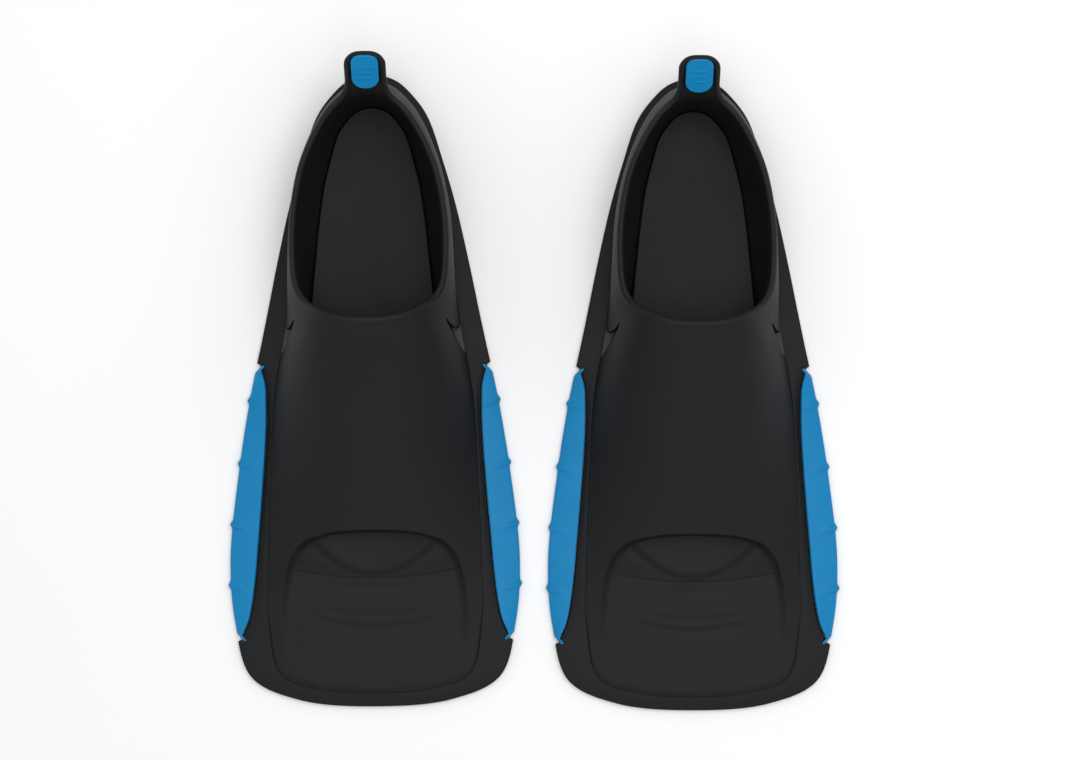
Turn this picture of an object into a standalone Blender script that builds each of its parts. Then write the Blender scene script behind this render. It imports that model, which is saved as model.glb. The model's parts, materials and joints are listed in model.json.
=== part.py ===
"""A pair of short-blade, full-foot swim fins, lying on their soles side by side.

Each fin is a lower moulding (sole, flange and footbed), an upper moulding (foot pocket, toe hood,
blade window and heel tab), two side rails keyed into the blade's edges, and a badge in the tab.

Metres, +Z up. The soles lie on z = 0, +Y points to the heels, and the origin is midway between
the fins. A fin is drawn about its own long axis, and its empty then puts it in its place.
"""

import math

import bmesh
import bpy
from mathutils import Matrix, Vector

# Overall sizes
FIN_LENGTH = 0.390
BLADE_WIDTH = 0.177

# Half the space between the blades, and where each fin lies: name, side, along, turn in degrees
HALF_SPACE = 0.0087
FIN_PLACES = (
    ("left", -1, 0.00065, 0.4),
    ("right", 1, -0.00175, 0.0),
)

# Heights above the floor
FLANGE_TOP = 0.0055
FLANGE_EDGE_TOP = 0.0042
UPPER_BOTTOM = 0.0043
CREASE_HEIGHT = 0.0070
GUTTER_HEIGHT = 0.0060
FOOTBED_HEIGHT = 0.0090
PANEL_HEIGHT = 0.0070

# Walls, roundings and clearances
GAP = 0.0003
WALL = 0.0034
WALL_BULGE = 0.0024
RIM_BEAD = 0.0012
EDGE_ROUND = 0.0012
FOOTBED_INSET = 0.0055
TOE_WALL_TOP = FOOTBED_HEIGHT + 0.0015

# Matched stations round half of the fin, from the heel to the blade's tip. Each is a point on the
# flange's edge, the upper's crease, the cavity's foot and the rim: shares of half the blade's width
# across and of the fin's length along.
FLANGE = (
    (0.0, 0.988), (0.166, 0.978), (0.291, 0.952), (0.384, 0.921), (0.487, 0.852), (0.574, 0.782),
    (0.665, 0.689), (0.728, 0.618), (0.770, 0.572), (0.852, 0.485), (0.932, 0.372), (0.997, 0.231),
    (0.968, 0.133), (0.858, 0.047), (0.530, 0.011), (0.0, 0.0),
)
CREASE = (
    (0.0, 0.977), (0.142, 0.967), (0.246, 0.944), (0.332, 0.914), (0.436, 0.849), (0.503, 0.779),
    (0.542, 0.692), (0.582, 0.623), (0.624, 0.564), (0.680, 0.490), (0.710, 0.377), (0.731, 0.223),
    (0.728, 0.128), (0.650, 0.052), (0.395, 0.029), (0.0, 0.022),
)
CAVITY = (
    (0.0, 0.943), (0.117, 0.936), (0.203, 0.919), (0.279, 0.896), (0.373, 0.838), (0.424, 0.773),
    (0.458, 0.692), (0.486, 0.621), (0.508, 0.564), (0.531, 0.487), (0.520, 0.403), (0.452, 0.346),
    (0.339, 0.318), (0.192, 0.303), (0.090, 0.297), (0.0, 0.296),
)
RIM = (
    (0.0, 0.948), (0.113, 0.943), (0.209, 0.9295), (0.302, 0.904), (0.432, 0.844), (0.500, 0.774),
    (0.513, 0.700), (0.484, 0.652), (0.410, 0.628), (0.311, 0.614), (0.226, 0.6070), (0.153, 0.6035),
    (0.090, 0.6018), (0.045, 0.6015), (0.020, 0.6015), (0.0, 0.6015),
)
# Rim height at each station while it runs along a wall, and how far the station is toe hood (0 to 1)
RIM_HEIGHT = (
    0.0575, 0.0572, 0.0565, 0.0550, 0.0520, 0.0495, 0.0500, 0.0545, 0.0600, 0.0680, 0.0710, 0.0720,
    0.0725, 0.0725, 0.0725, 0.0725,
)
HOOD_SHARE = (0, 0, 0, 0, 0, 0, 0, 0.15, 0.6, 1, 1, 1, 1, 1, 1, 1)

# The hood's height on the fin's axis, as (share of the length along, height), and how full its
# section is, from the instep to the toes
HOOD_LINE = (
    (0.0, 0.0070), (0.022, 0.0071), (0.060, 0.0077), (0.100, 0.0099), (0.150, 0.0140),
    (0.230, 0.0210), (0.280, 0.0262), (0.395, 0.0408), (0.500, 0.0555), (0.600, 0.0740), (0.700, 0.0880),
)
TOES_END = 0.38
INSTEP_START = 0.60
HOOD_POWER_INSTEP = 3.2
HOOD_POWER_TOE = 2.3
HOOD_CURVE_INSTEP = 0.75
HOOD_CURVE_TOE = 1.10

# The window cut in the front of the hood, as arcs across it from its arched top to its foot: half-width,
# length along at the sides and on the axis, and the floor's height at the sides and on the axis
WINDOW_ARCS = (
    (0.440, 0.2660, 0.2796, 0.0150, 0.0236),
    (0.520, 0.2520, 0.2700, 0.0110, 0.0135),
    (0.590, 0.2180, 0.2280, 0.0084, 0.0094),
    (0.606, 0.2060, 0.2008, PANEL_HEIGHT, PANEL_HEIGHT),
    (0.618, 0.1720, 0.1660, PANEL_HEIGHT, PANEL_HEIGHT),
    (0.624, 0.1380, 0.1320, PANEL_HEIGHT, PANEL_HEIGHT),
    (0.612, 0.1000, 0.0940, PANEL_HEIGHT, PANEL_HEIGHT),
    (0.560, 0.0600, 0.0560, PANEL_HEIGHT, PANEL_HEIGHT),
    (0.420, 0.0460, 0.0420, PANEL_HEIGHT, PANEL_HEIGHT),
)

# Side rails: half-width of the inner edge at points along the rail, the rail's own sizes
RAIL_INNER = (
    (0.785, 0.534), (0.766, 0.5215), (0.746, 0.503), (0.742, 0.484), (0.742, 0.447), (0.752, 0.400),
    (0.767, 0.353), (0.783, 0.307), (0.801, 0.260), (0.819, 0.213), (0.835, 0.182), (0.852, 0.157),
    (0.875, 0.135), (0.917, 0.112), (0.925, 0.1045),
)
RAIL_BOTTOM = 0.0008
RAIL_TOP = 0.0072
RAIL_ROUND = 0.0012
RAIL_END_INSET = 0.0014
RAIL_END_LENGTH = 0.004
TONGUE_DEPTH = 0.0026
TONGUE_ROOT = 0.0010
TONGUE_LOW = 0.0016
TONGUE_HIGH = 0.0034
TONGUE_END = 0.016
BUMP_HEIGHT = 0.0014
BUMP_HALF_LENGTH = 0.0040
BUMPS_ALONG = (0.480, 0.3815, 0.2864, 0.1913)

# Heel tab: a slab that leans back from the rim, and the badge in its upper face
TAB_LEAN = 47.0
TAB_LENGTH = 0.0352
TAB_HALF_WIDTH = 0.0123
TAB_FOOT_HALF_WIDTH = 0.0195
TAB_THICKNESS = 0.0045
TAB_CORNER = 0.0068
TAB_ROUND = 0.0008
TAB_ROOT_IN = 0.0026
TAB_ROOT_DOWN = 0.0020
BADGE_SIDE_MARGIN = 0.0041
BADGE_TOP_MARGIN = 0.0012
BADGE_ROOT_MARGIN = 0.0095
BADGE_CORNER = 0.0050
BADGE_ROUND = 0.0003
BADGE_THICKNESS = 0.0016
BADGE_RECESS = 0.0012

# Drain notch low on each side of the instep: half-width and length along of its corners
NOTCH_AT_FLOOR = ((0.545, 0.596), (0.650, 0.602), (0.622, 0.556))
NOTCH_AT_ROOF = ((0.502, 0.602), (0.660, 0.606), (0.622, 0.548))
NOTCH_FLOOR = 0.0105
NOTCH_ROOF = 0.0460

# How finely the lofts are divided, and how far cutters run past what they cut
COLUMN_STEP = 0.015
HOOD_ROWS = 11
CAVITY_ROWS = (0.05, 0.15, 0.36, 0.70, 1.0)
RAIL_STATIONS = 20
TONGUE_STATIONS = 10
WINDOW_STEPS = 10
CUT_REACH = 0.0060
CUT_HEIGHT = 0.1000


def place(across, along):
    """A point on the floor from shares of half the width and of the length."""
    return Vector((across * BLADE_WIDTH / 2, (along - 0.5) * FIN_LENGTH, 0))


def mirrored(half):
    """A closed list of points from half of one, which starts and ends on the axis."""
    other = [Vector((-point.x, point.y, point.z)) for point in half[-2:0:-1]]
    return list(half) + other


def smooth_point(points, segment, share):
    """A point on the smooth closed curve through the points, part of the way along a segment."""
    a, b, c, d = (points[(segment + step) % len(points)] for step in (-1, 0, 1, 2))
    before, here, after = (math.sqrt((q - p).length + 1e-9) for p, q in ((a, b), (b, c), (c, d)))
    leave = (c - b) + here * ((b - a) / before - (c - a) / (before + here))
    reach = (c - b) + here * ((d - c) / after - (d - b) / (here + after))
    s2 = share * share
    s3 = s2 * share
    return (
        (2 * s3 - 3 * s2 + 1) * b
        + (s3 - 2 * s2 + share) * leave
        + (3 * s2 - 2 * s3) * c
        + (s3 - s2) * reach
    )


def between(table, value):
    """Reads a table of (place, value) pairs, with straight runs between them."""
    if value <= table[0][0]:
        return table[0][1]
    for (low, first), (high, last) in zip(table, table[1:]):
        if value <= high:
            return first + (last - first) * (value - low) / (high - low)
    return table[-1][1]


def eased(share):
    share = min(max(share, 0.0), 1.0)
    return share * share * (3 - 2 * share)


def column_places():
    """Where the loft's columns stand: (segment, share), closest together on long segments."""
    crease = mirrored([place(*pair) for pair in CREASE])
    rim = mirrored([place(*pair) for pair in RIM])
    columns = []
    for segment in range(len(crease)):
        after = (segment + 1) % len(crease)
        long = (crease[after] - crease[segment]).length
        tight = 1.6 * (rim[after] - rim[segment]).length
        count = max(1, round(max(long, tight) / COLUMN_STEP))
        columns += [(segment, step / count) for step in range(count)]
    return columns


def loop_through(pairs, columns):
    points = mirrored([place(*pair) for pair in pairs])
    return [smooth_point(points, segment, share) for segment, share in columns]


def along_columns(values, columns):
    """Numbers given at the stations, read at each column."""
    whole = [Vector((value, 0, 0)) for value in values]
    whole += whole[-2:0:-1]
    count = len(whole)
    return [
        whole[segment].lerp(whole[(segment + 1) % count], share).x for segment, share in columns
    ]


def outward(loop):
    """Unit vectors pointing out of a closed loop that runs clockwise from above."""
    normals = []
    for index, point in enumerate(loop):
        run = loop[(index + 1) % len(loop)] - loop[index - 1]
        normals.append(Vector((-run.y, run.x, 0)).normalized())
    return normals


def grown(loop, distance):
    """The loop moved outwards, or inwards where the distance is negative."""
    return [point + normal * distance for point, normal in zip(loop, outward(loop))]


def at_height(loop, height):
    return [Vector((point.x, point.y, height)) for point in loop]


def crease_half_width(y):
    """Half-width of the upper's crease at a place along the fin."""
    points = [place(*pair) for pair in CREASE]
    return between(sorted((point.y, point.x) for point in points), y)


def hood_height(point):
    """Height of the hood's smooth outer surface over a point on the floor."""
    along = point.y / FIN_LENGTH + 0.5
    half = crease_half_width(point.y)
    side = min(abs(point.x) / max(half, 0.001), 1.0)
    instep = eased((along - TOES_END) / (INSTEP_START - TOES_END))
    power = HOOD_POWER_TOE + (HOOD_POWER_INSTEP - HOOD_POWER_TOE) * instep
    curve = HOOD_CURVE_TOE + (HOOD_CURVE_INSTEP - HOOD_CURVE_TOE) * instep
    rise = between(HOOD_LINE, along) - CREASE_HEIGHT
    return CREASE_HEIGHT + max(rise, 0) * (1 - side**power) ** curve


def mesh_object(name, mesh, collection, material=None):
    obj = bpy.data.objects.new(name, mesh)
    collection.objects.link(obj)
    if material:
        mesh.materials.append(material)
        mesh.shade_smooth()
        mesh.set_sharp_from_angle(angle=math.radians(35))
    return obj


def cutter(name, mesh, cutters):
    obj = mesh_object(name, mesh, cutters)
    obj.hide_render = True
    obj.display_type = "WIRE"
    return obj


def mesh_from_rings(name, rings, closed=False):
    """A closed mesh lofted through rings of equal count. Its ends are capped, or meet if closed."""
    shape = bmesh.new()
    rows = [[shape.verts.new(point) for point in ring] for ring in rings]
    count = len(rows[0])
    pairs = list(zip(rows, rows[1:]))
    if closed:
        pairs.append((rows[-1], rows[0]))
    for low, high in pairs:
        for index in range(count):
            after = (index + 1) % count
            shape.faces.new((low[index], low[after], high[after], high[index]))
    if not closed:
        shape.faces.new(rows[0])
        shape.faces.new(rows[-1])
    bmesh.ops.triangulate(shape, faces=shape.faces[:])
    bmesh.ops.recalc_face_normals(shape, faces=shape.faces[:])
    mesh = bpy.data.meshes.new(name)
    shape.to_mesh(mesh)
    shape.free()
    return mesh


def flipped(mesh):
    """The mesh mirrored across the fin's axis, with its faces still pointing out."""
    copy = mesh.copy()
    copy.transform(Matrix.Scale(-1, 4, (1, 0, 0)))
    copy.flip_normals()
    return copy


def boolean(target, other, operation):
    modifier = target.modifiers.new(other.name, "BOOLEAN")
    modifier.operation = operation
    modifier.object = other
    modifier.solver = "EXACT"


def make_material(name, colour, roughness):
    material = bpy.data.materials.new(name)
    material.use_nodes = True
    shader = material.node_tree.nodes["Principled BSDF"]
    shader.inputs["Base Color"].default_value = (*colour, 1)
    shader.inputs["Roughness"].default_value = roughness
    shader.inputs["Metallic"].default_value = 0
    return material


def lower_moulding_mesh():
    """Sole plate with its flange, the seat for the upper, and the footbed."""
    columns = column_places()
    flange = loop_through(FLANGE, columns)
    seat = grown(loop_through(CREASE, columns), GAP)
    cavity = grown(loop_through(CAVITY, columns), -GAP)
    seat_floor = UPPER_BOTTOM - GAP
    return mesh_from_rings(
        "lower_moulding",
        (
            at_height(grown(flange, -EDGE_ROUND), 0),
            at_height(flange, EDGE_ROUND),
            at_height(flange, FLANGE_EDGE_TOP - EDGE_ROUND),
            at_height(grown(flange, -EDGE_ROUND), FLANGE_EDGE_TOP),
            at_height(seat, FLANGE_TOP),
            at_height(seat, seat_floor),
            at_height(cavity, seat_floor),
            at_height(cavity, GUTTER_HEIGHT),
            at_height(grown(cavity, -FOOTBED_INSET + EDGE_ROUND), GUTTER_HEIGHT),
            at_height(grown(cavity, -FOOTBED_INSET), FOOTBED_HEIGHT),
        ),
    )


def pocket_surface(foot, rim, out, share_up, hood_share, rim_height):
    """A point on the upper's outer face, between its crease (0) and its rim (1)."""
    bulge = WALL_BULGE * math.sin(math.pi * share_up) * (1 - hood_share)
    point = foot.lerp(rim, share_up) + out * bulge
    wall = CREASE_HEIGHT + (rim_height - CREASE_HEIGHT) * share_up
    hood = hood_height(point)
    point.z = wall + (hood - wall) * hood_share
    return point


def upper_shell_mesh():
    """Pocket walls and toe hood: a ring-shaped loft from the crease over the rim to the cavity."""
    columns = column_places()
    crease = loop_through(CREASE, columns)
    rim = loop_through(RIM, columns)
    cavity = loop_through(CAVITY, columns)
    hood_shares = along_columns(HOOD_SHARE, columns)
    heights = along_columns(RIM_HEIGHT, columns)
    rim_out = grown(rim, WALL / 2)
    rim_in = grown(rim, -WALL / 2)

    rings = [at_height(crease, UPPER_BOTTOM)]
    for row in range(HOOD_ROWS + 1):
        share_up = row / HOOD_ROWS
        rings.append([
            pocket_surface(foot, top, out, share_up, hood, height)
            for foot, top, out, hood, height in zip(
                crease, rim_out, outward(crease), hood_shares, heights
            )
        ])
    outer_edge = rings[-1]
    rings.append([
        Vector((middle.x, middle.y, edge.z + RIM_BEAD)) for middle, edge in zip(rim, outer_edge)
    ])
    for share_up in reversed(CAVITY_ROWS):
        ring = []
        for foot, top, hood, edge in zip(cavity, rim_in, hood_shares, outer_edge):
            point = foot.lerp(top, share_up)
            roof = hood_height(point) - WALL
            toe_cap = math.sqrt(1 - (1 - share_up) ** 6)
            under_hood = TOE_WALL_TOP + (roof - TOE_WALL_TOP) * toe_cap
            wall = TOE_WALL_TOP + (edge.z - TOE_WALL_TOP) * share_up
            near_rim = eased((share_up - 0.8) / 0.2)
            under_hood += (edge.z - under_hood) * near_rim
            point.z = wall + (under_hood - wall) * hood
            ring.append(point)
        rings.append(ring)
    rings.append(at_height(cavity, TOE_WALL_TOP))
    rings.append(at_height(cavity, UPPER_BOTTOM))
    return mesh_from_rings("upper_shell", rings, closed=True)


def window_mesh():
    """Cutter for the window: its floor follows the ramp and then the blade's panel."""
    rings = []
    for half, side_along, middle_along, side_height, middle_height in WINDOW_ARCS:
        floor = []
        for step in range(WINDOW_STEPS + 1):
            across = 2 * step / WINDOW_STEPS - 1
            crown = 1 - across * across
            point = place(half * across, side_along + (middle_along - side_along) * crown)
            point.z = side_height + (middle_height - side_height) * crown
            floor.append(point)
        rings.append(floor + at_height(reversed(floor), CUT_HEIGHT))
    return mesh_from_rings("window", rings)


def rounded_slab(name, half_width, foot_half_width, length, corner, thickness, rounding):
    """A slab with a round-cornered head and a foot that may flare, its edges eased on one face."""
    right = [Vector((foot_half_width, 0, 0))]
    if foot_half_width > half_width:
        right.append(Vector(((half_width * 2 + foot_half_width) / 3, length * 0.22, 0)))
        right.append(Vector((half_width, length * 0.45, 0)))
    else:
        right = [
            Vector((
                half_width - corner + corner * math.sin(turn),
                corner - corner * math.cos(turn),
                0,
            ))
            for turn in (0, math.pi / 6, math.pi / 3, math.pi / 2)
        ]
    right += [
        Vector((
            half_width - corner + corner * math.cos(turn),
            length - corner + corner * math.sin(turn),
            0,
        ))
        for turn in (0, math.pi / 6, math.pi / 3, math.pi / 2)
    ]
    left = [Vector((-point.x, point.y, 0)) for point in right]
    outline = left + right[::-1]
    return mesh_from_rings(
        name,
        (
            at_height(outline, 0),
            at_height(outline, thickness - rounding),
            at_height(grown(outline, -rounding), thickness),
        ),
    )


def tab_frame():
    """Turns a slab's own axes (across, up the slope, out of its face) to the heel tab's place."""
    lean = math.radians(TAB_LEAN)
    slope = Vector((0, math.cos(lean), math.sin(lean)))
    face = Vector((0, -math.sin(lean), math.cos(lean)))
    start = place(*RIM[0]) + Vector((0, -TAB_ROOT_IN, RIM_HEIGHT[0] - TAB_ROOT_DOWN))
    return Matrix((
        (1, 0, 0, start.x),
        (0, slope.y, face.y, start.y),
        (0, slope.z, face.z, start.z),
        (0, 0, 0, 1),
    ))


def tab_mesh():
    mesh = rounded_slab(
        "heel_tab", TAB_HALF_WIDTH, TAB_FOOT_HALF_WIDTH, TAB_LENGTH, TAB_CORNER, TAB_THICKNESS, TAB_ROUND
    )
    mesh.transform(tab_frame())
    return mesh


def badge_mesh(name, gap, bottom, thickness):
    """The badge, or with a gap the recess that it sits in."""
    half_width = TAB_HALF_WIDTH - BADGE_SIDE_MARGIN + gap
    start = BADGE_ROOT_MARGIN - gap
    length = TAB_LENGTH - BADGE_TOP_MARGIN + gap - start
    corner = BADGE_CORNER + gap
    mesh = rounded_slab(name, half_width, half_width, length, corner, thickness, BADGE_ROUND)
    mesh.transform(tab_frame() @ Matrix.Translation((0, start, bottom)))
    return mesh


def notch_mesh():
    """Cutter for a drain notch, which narrows towards its floor."""
    floor = [place(*pair) for pair in NOTCH_AT_FLOOR]
    roof = [place(*pair) for pair in NOTCH_AT_ROOF]
    return mesh_from_rings(
        "drain_notch", (at_height(floor, NOTCH_FLOOR), at_height(roof, NOTCH_ROOF))
    )


def flange_half_width(y):
    """Half-width of the flange's edge at a place along the blade."""
    points = mirrored([place(*pair) for pair in FLANGE])
    edge = [
        smooth_point(points, segment, step / 6)
        for segment in range(len(FLANGE) - 1)
        for step in range(7)
    ]
    return between(sorted((point.y, point.x) for point in edge), y)


def rail_places():
    """Places along a rail: even ones, and three at each bump."""
    low = place(*RAIL_INNER[-1]).y
    high = place(*RAIL_INNER[0]).y
    places = [low + (high - low) * step / RAIL_STATIONS for step in range(RAIL_STATIONS + 1)]
    for along in BUMPS_ALONG:
        middle = place(0, along).y
        places = [y for y in places if abs(y - middle) > BUMP_HALF_LENGTH * 1.4]
        places += [middle - BUMP_HALF_LENGTH, middle, middle + BUMP_HALF_LENGTH]
    return sorted(places)


def rail_inner(y):
    """Half-width of a rail's inner edge at a place along the blade."""
    return between(sorted((place(*pair).y, place(*pair).x) for pair in RAIL_INNER), y)


def rail_section(y, gap, reach):
    """One cross-section of the +X rail. The notch for it has a gap and reaches past the flange."""
    ends = min(y - place(*RAIL_INNER[-1]).y, place(*RAIL_INNER[0]).y - y)
    pulled = RAIL_END_INSET * (1 - eased(ends / RAIL_END_LENGTH))
    bump = max(0.0, 1 - min(abs(y - place(0, along).y) for along in BUMPS_ALONG) / BUMP_HALF_LENGTH)
    outer = flange_half_width(y) + BUMP_HEIGHT * bump - pulled
    inner = min(rail_inner(y), outer - RAIL_ROUND * 1.5) - gap
    outer += reach
    low = RAIL_BOTTOM - reach
    high = RAIL_TOP + reach
    eased_edge = RAIL_ROUND / 2
    corners = (
        (outer - RAIL_ROUND, low),
        (outer, low + RAIL_ROUND),
        (outer, high - RAIL_ROUND),
        (outer - RAIL_ROUND, high),
        (inner + eased_edge * (not gap), high),
        (inner, high - eased_edge),
        (inner, low + eased_edge),
        (inner + eased_edge * (not gap), low),
    )
    return [Vector((x, y, z)) for x, z in corners]


def rail_mesh(name, gap=0.0, reach=0.0):
    """A side rail for the +X edge, or with a gap the notch that takes it."""
    sections = [rail_section(y, gap, reach) for y in rail_places()]
    for section, shift in ((sections[0], -gap), (sections[-1], gap)):
        for point in section:
            point.y += shift
    return mesh_from_rings(name, sections)


def tongue_mesh(name, gap=0.0):
    """The key along a rail's inner side, or with a gap the groove in the blade that takes it."""
    low = place(*RAIL_INNER[-1]).y + TONGUE_END
    high = place(*RAIL_INNER[0]).y - TONGUE_END
    sections = []
    for step in range(TONGUE_STATIONS + 1):
        share = step / TONGUE_STATIONS
        y = low - gap + (high - low + 2 * gap) * share
        depth = TONGUE_DEPTH * min(1.0, 0.25 + 8 * min(share, 1 - share)) + gap
        root = rail_inner(y) + TONGUE_ROOT
        tip = rail_inner(y) - depth
        sections.append([
            Vector((root, y, TONGUE_LOW - gap)),
            Vector((root, y, TONGUE_HIGH + gap)),
            Vector((tip, y, TONGUE_HIGH + gap)),
            Vector((tip, y, TONGUE_LOW - gap)),
        ])
    return mesh_from_rings(name, sections)


def build_fin(name, side, along, turn, parts, cutters, body, accent):
    """One fin: its five pieces, placed by an empty at the middle of its sole."""
    stand = bpy.data.objects.new(f"{name}_fin_place", None)
    parts.objects.link(stand)
    stand.location = (side * (BLADE_WIDTH / 2 + HALF_SPACE), along, 0)
    stand.rotation_euler = (0, 0, math.radians(turn))

    lower = mesh_object(f"{name}_sole_blade", lower_moulding_mesh(), parts, body)
    upper = mesh_object(f"{name}_foot_pocket", upper_shell_mesh(), parts, body)
    rail = rail_mesh(f"{name}_rail")
    tongue = tongue_mesh(f"{name}_tongue")
    groove = tongue_mesh(f"{name}_groove", GAP)
    right_rail = mesh_object(f"{name}_fin_right_rail", rail, parts, accent)
    left_rail = mesh_object(f"{name}_fin_left_rail", flipped(rail), parts, accent)
    badge = badge_mesh(f"{name}_badge", 0, TAB_THICKNESS - BADGE_RECESS + GAP, BADGE_THICKNESS)
    badge = mesh_object(f"{name}_heel_badge", badge, parts, accent)

    seat = rail_mesh(f"{name}_rail_notch", GAP, CUT_REACH)
    notch = notch_mesh()
    recess = badge_mesh(f"{name}_badge_recess", GAP, TAB_THICKNESS - BADGE_RECESS, CUT_HEIGHT)
    tools = [
        (lower, cutter(f"cut_{name}_right_rail", seat, cutters), "DIFFERENCE"),
        (lower, cutter(f"cut_{name}_left_rail", flipped(seat), cutters), "DIFFERENCE"),
        (lower, cutter(f"cut_{name}_right_groove", groove, cutters), "DIFFERENCE"),
        (lower, cutter(f"cut_{name}_left_groove", flipped(groove), cutters), "DIFFERENCE"),
        (right_rail, cutter(f"join_{name}_right_tongue", tongue, cutters), "UNION"),
        (left_rail, cutter(f"join_{name}_left_tongue", flipped(tongue), cutters), "UNION"),
        (upper, cutter(f"cut_{name}_window", window_mesh(), cutters), "DIFFERENCE"),
        (upper, cutter(f"join_{name}_tab", tab_mesh(), cutters), "UNION"),
        (upper, cutter(f"cut_{name}_badge", recess, cutters), "DIFFERENCE"),
        (upper, cutter(f"cut_{name}_right_notch", notch, cutters), "DIFFERENCE"),
        (upper, cutter(f"cut_{name}_left_notch", flipped(notch), cutters), "DIFFERENCE"),
    ]
    for piece, tool, operation in tools:
        boolean(piece, tool, operation)
        tool.parent = stand
    for piece in (lower, upper, right_rail, left_rail, badge):
        piece.parent = stand


def main():
    for obj in list(bpy.data.objects):
        bpy.data.objects.remove(obj, do_unlink=True)
    parts = bpy.data.collections.new("swim_fins")
    cutters = bpy.data.collections.new("cutters")
    bpy.context.scene.collection.children.link(parts)
    bpy.context.scene.collection.children.link(cutters)
    body = make_material("black_rubber", (0.018, 0.018, 0.020), 0.55)
    accent = make_material("blue_rubber", (0.024, 0.235, 0.515), 0.45)
    for fin_place in FIN_PLACES:
        build_fin(*fin_place, parts, cutters, body, accent)


main()
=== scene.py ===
"""The looks of the pair of swim fins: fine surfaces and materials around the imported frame.

Each fin is drawn about its own long axis (x across, y towards the heel, z up, in metres) with the
same outlines as its frame, then turned and moved to where its sole's mount says that it lies.
"""

import json
import math

import bpy
import numpy as np
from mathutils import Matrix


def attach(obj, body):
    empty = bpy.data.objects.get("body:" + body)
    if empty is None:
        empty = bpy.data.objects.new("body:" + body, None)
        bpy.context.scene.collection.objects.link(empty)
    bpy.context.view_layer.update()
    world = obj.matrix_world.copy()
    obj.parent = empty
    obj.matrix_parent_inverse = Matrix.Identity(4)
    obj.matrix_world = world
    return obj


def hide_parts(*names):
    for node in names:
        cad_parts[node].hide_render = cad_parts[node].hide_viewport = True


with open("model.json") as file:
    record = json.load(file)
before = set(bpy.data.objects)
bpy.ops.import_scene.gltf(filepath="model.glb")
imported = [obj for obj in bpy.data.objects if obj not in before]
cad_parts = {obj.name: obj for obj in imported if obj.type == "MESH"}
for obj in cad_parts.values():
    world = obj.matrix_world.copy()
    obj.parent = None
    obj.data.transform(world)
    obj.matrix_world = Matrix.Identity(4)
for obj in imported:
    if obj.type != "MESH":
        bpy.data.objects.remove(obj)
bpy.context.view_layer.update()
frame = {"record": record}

# Overall sizes, and the turn of each fin in degrees
FIN_LENGTH = 0.390
BLADE_WIDTH = 0.177
TURNS = {"left": 0.4, "right": 0.0}

# Heights above the floor
FLANGE_TOP = 0.0055
FLANGE_EDGE_TOP = 0.0042
UPPER_BOTTOM = 0.0043
CREASE_HEIGHT = 0.0070
GUTTER_HEIGHT = 0.0030
FOOTBED_HEIGHT = 0.0090
PANEL_HEIGHT = 0.0070
TOE_WALL_TOP = FOOTBED_HEIGHT + 0.0015

# Walls, roundings and clearances, and the angle in degrees past which an edge is drawn sharp
GAP = 0.0003
WALL = 0.0034
WALL_BULGE = 0.0024
FLANGE_ROUND = 0.0012
SHARP_ANGLE = 40

# The rounded shoulder where the blade's panel meets its edge, and where it ends along the fin
SHOULDER_DROP = 0.0010
SHOULDER_WIDTH = 0.0032
SHOULDER_END = 0.16
SHOULDER_FADE = 0.06

# The footbed: how far it stands in from the cavity's foot at the ball, the arch and the heel, how
# late its shoulder rises, and its dished top
FOOTBED_INSET = 0.0056
FOOTBED_ARCH_INSET = 0.0006
FOOTBED_HEEL_INSET = -0.0030
FOOTBED_SHOULDER = 3.2
FOOTBED_ROWS = 14
ARCH_FROM = 0.64
ARCH_FADE = 0.14
HEEL_FROM = 0.84
HEEL_FADE = 0.10
DISH_DEPTH = 0.0018
DISH_HALF_WIDTH = 0.033

# The cavity's wall, which flares in over the gutter at its foot, and its roof under the hood
WALL_FOOT_SHARE = 0.80
WALL_FOOT_HEIGHT = 0.0066
WALL_FLARE = 2.3
ROOF_FULLNESS = 6
ROOF_END = 0.8

# Matched stations round half of the fin, from the heel to the blade's tip: shares of half the
# blade's width across and of the fin's length along
FLANGE = (
    (0.0, 0.988), (0.166, 0.978), (0.291, 0.952), (0.384, 0.921), (0.487, 0.852), (0.574, 0.782),
    (0.665, 0.689), (0.728, 0.618), (0.770, 0.572), (0.852, 0.485), (0.932, 0.372), (0.997, 0.231),
    (0.968, 0.133), (0.858, 0.047), (0.530, 0.011), (0.0, 0.0),
)
CREASE = (
    (0.0, 0.977), (0.142, 0.967), (0.246, 0.944), (0.332, 0.914), (0.436, 0.849), (0.503, 0.779),
    (0.542, 0.692), (0.582, 0.623), (0.624, 0.564), (0.680, 0.490), (0.710, 0.377), (0.731, 0.223),
    (0.728, 0.128), (0.650, 0.052), (0.395, 0.029), (0.0, 0.022),
)
CAVITY = (
    (0.0, 0.943), (0.117, 0.936), (0.203, 0.919), (0.279, 0.896), (0.373, 0.838), (0.424, 0.773),
    (0.458, 0.692), (0.486, 0.621), (0.508, 0.564), (0.531, 0.487), (0.520, 0.403), (0.452, 0.346),
    (0.339, 0.318), (0.192, 0.303), (0.090, 0.297), (0.0, 0.296),
)
RIM = (
    (0.0, 0.948), (0.113, 0.943), (0.209, 0.9295), (0.302, 0.904), (0.432, 0.844), (0.500, 0.774),
    (0.513, 0.700), (0.484, 0.652), (0.410, 0.628), (0.311, 0.614), (0.226, 0.6070), (0.153, 0.6035),
    (0.090, 0.6018), (0.045, 0.6015), (0.020, 0.6015), (0.0, 0.6015),
)
RIM_HEIGHT = (
    0.0575, 0.0572, 0.0565, 0.0550, 0.0520, 0.0495, 0.0500, 0.0545, 0.0600, 0.0680, 0.0710, 0.0720,
    0.0725, 0.0725, 0.0725, 0.0725,
)
OUTLINE_STEPS = 24
HOOD_SHARE = (0, 0, 0, 0, 0, 0, 0, 0.15, 0.6, 1, 1, 1, 1, 1, 1, 1)
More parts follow.
